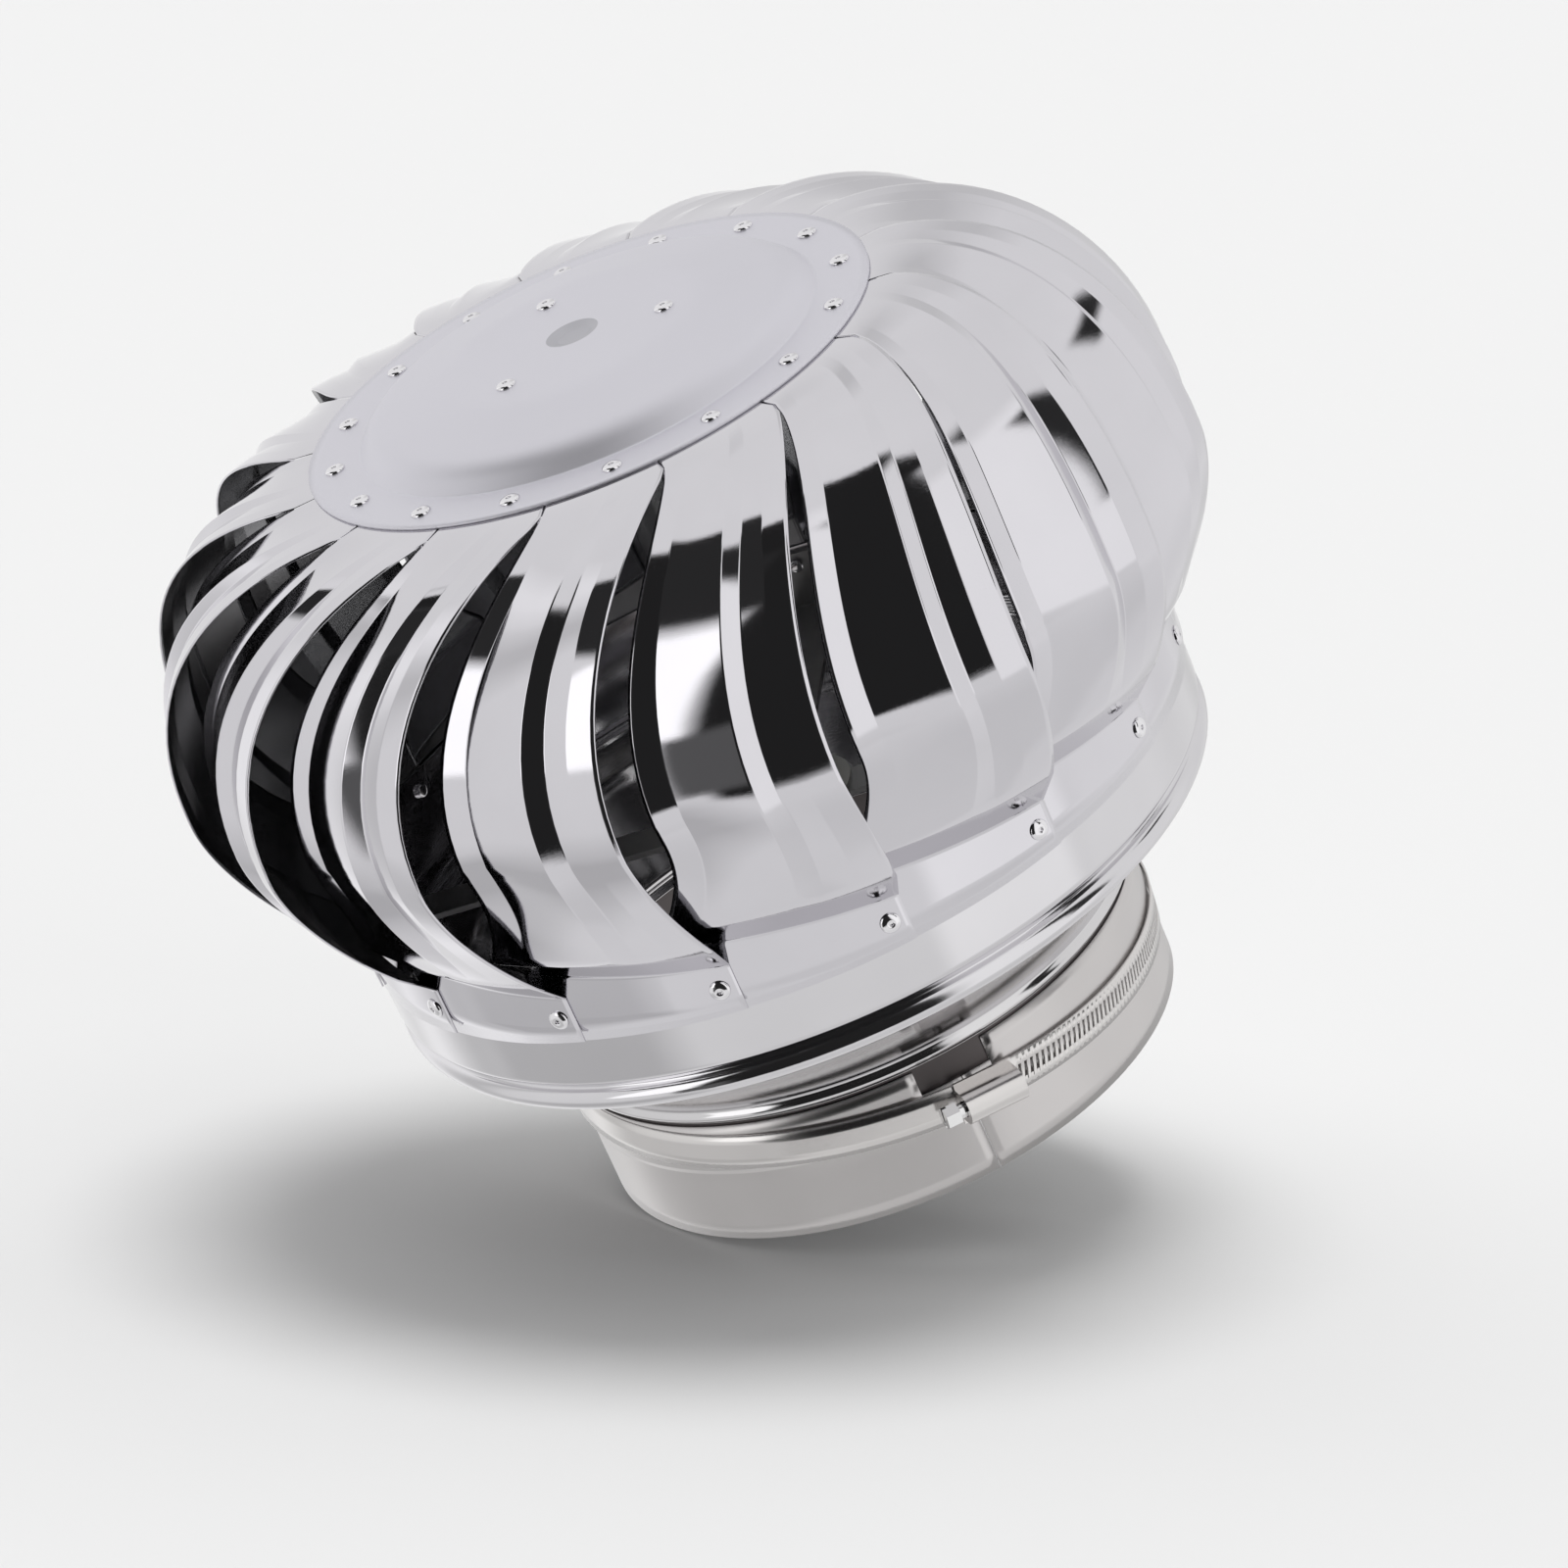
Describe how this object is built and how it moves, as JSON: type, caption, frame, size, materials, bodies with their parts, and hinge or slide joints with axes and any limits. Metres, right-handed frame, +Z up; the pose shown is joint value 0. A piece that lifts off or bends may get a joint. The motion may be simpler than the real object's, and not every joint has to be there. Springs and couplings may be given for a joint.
{
  "type": "roof turbine ventilator",
  "caption": "Round wind-driven roof ventilator: a ball of overlapping polished blades that spins on a fixed axle above a funnel throat with a clamped duct collar.",
  "frame": {"origin": "centre of the collar's lower rim", "axes": "+Z up along the spin axis, -Y towards the front of the picture's view"},
  "size_m": [0.3556, 0.3556, 0.2874],
  "materials": {
    "blade_steel": "mirror polished stainless sheet",
    "throat_steel": "mirror polished stainless sheet",
    "ring_steel": "mirror polished stainless sheet",
    "cap_steel": "satin stainless sheet",
    "collar_steel": "satin stainless sheet",
    "clamp_steel": "bright rolled stainless strip",
    "screw_steel": "bright plated steel",
    "rivet_steel": "bright stainless",
    "bracket_steel": "mill finish stainless bar",
    "axle_steel": "turned steel",
    "zinc_steel": "zinc plated steel",
    "spring_steel": "blackened spring steel",
    "bearing_steel": "ground bearing steel",
    "cage_steel": "pressed steel",
    "shield_steel": "pressed steel"
  },
  "bodies": {
    "base": {"neck_collar": "collar_steel", "throat": "throat_steel", "clamp_band": "clamp_steel", "clamp_housing": "clamp_steel", "base_bracket": "bracket_steel", "axle": "axle_steel", "axle_foot_nut": "zinc_steel", "axle_foot_washer": "zinc_steel", "axle_spacer": "axle_steel", "axle_top_washer": "zinc_steel", "axle_top_nut": "zinc_steel", "lower_inner_race": "bearing_steel", "upper_inner_race": "bearing_steel"},
    "rotor": {"top_cap": "cap_steel", "cap_rivets": "rivet_steel", "dome_rivets": "rivet_steel", "lower_ring": "ring_steel", "ring_rivets": "rivet_steel", "lower_spider": "bracket_steel", "lower_bearing_cup": "zinc_steel", "lower_cup_rivets": "rivet_steel", "upper_bearing_cup": "zinc_steel", "upper_circlip": "spring_steel", "lower_outer_race": "bearing_steel", "lower_shields": "shield_steel", "upper_outer_race": "bearing_steel", "upper_shields": "shield_steel", "blade_01": "blade_steel", "blade_02": "blade_steel", "blade_03": "blade_steel", "blade_04": "blade_steel", "blade_05": "blade_steel", "blade_06": "blade_steel", "blade_07": "blade_steel", "blade_08": "blade_steel", "blade_09": "blade_steel", "blade_10": "blade_steel", "blade_11": "blade_steel", "blade_12": "blade_steel", "blade_13": "blade_steel", "blade_14": "blade_steel", "blade_15": "blade_steel", "blade_16": "blade_steel"},
    "clamp_screw": {"clamp_screw": "screw_steel"},
    "lower_ball_set": {"lower_balls": "bearing_steel", "lower_cage": "cage_steel"},
    "upper_ball_set": {"upper_balls": "bearing_steel", "upper_cage": "cage_steel"}
  },
  "joints": [
    {"name": "rotor_spin", "type": "hinge", "parent": "base", "child": "rotor", "pos_m": [0, 0, 0.111], "axis": [0, 0, 1], "continuous": true},
    {"name": "lower_ball_spin", "type": "hinge", "parent": "base", "child": "lower_ball_set", "pos_m": [0, 0, 0.111], "axis": [0, 0, 1], "continuous": true},
    {"name": "upper_ball_spin", "type": "hinge", "parent": "base", "child": "upper_ball_set", "pos_m": [0, 0, 0.2668], "axis": [0, 0, 1], "continuous": true},
    {"name": "clamp_screw_turn", "type": "hinge", "parent": "base", "child": "clamp_screw", "pos_m": [0.02443, -0.1062, 0.02886], "axis": [0.9707, 0.225, -0.0849], "continuous": true}
  ],
  "couplings": [
    {"joint": "lower_ball_spin", "follows": "rotor_spin", "ratio": 0.619},
    {"joint": "upper_ball_spin", "follows": "rotor_spin", "ratio": 0.619}
  ]
}
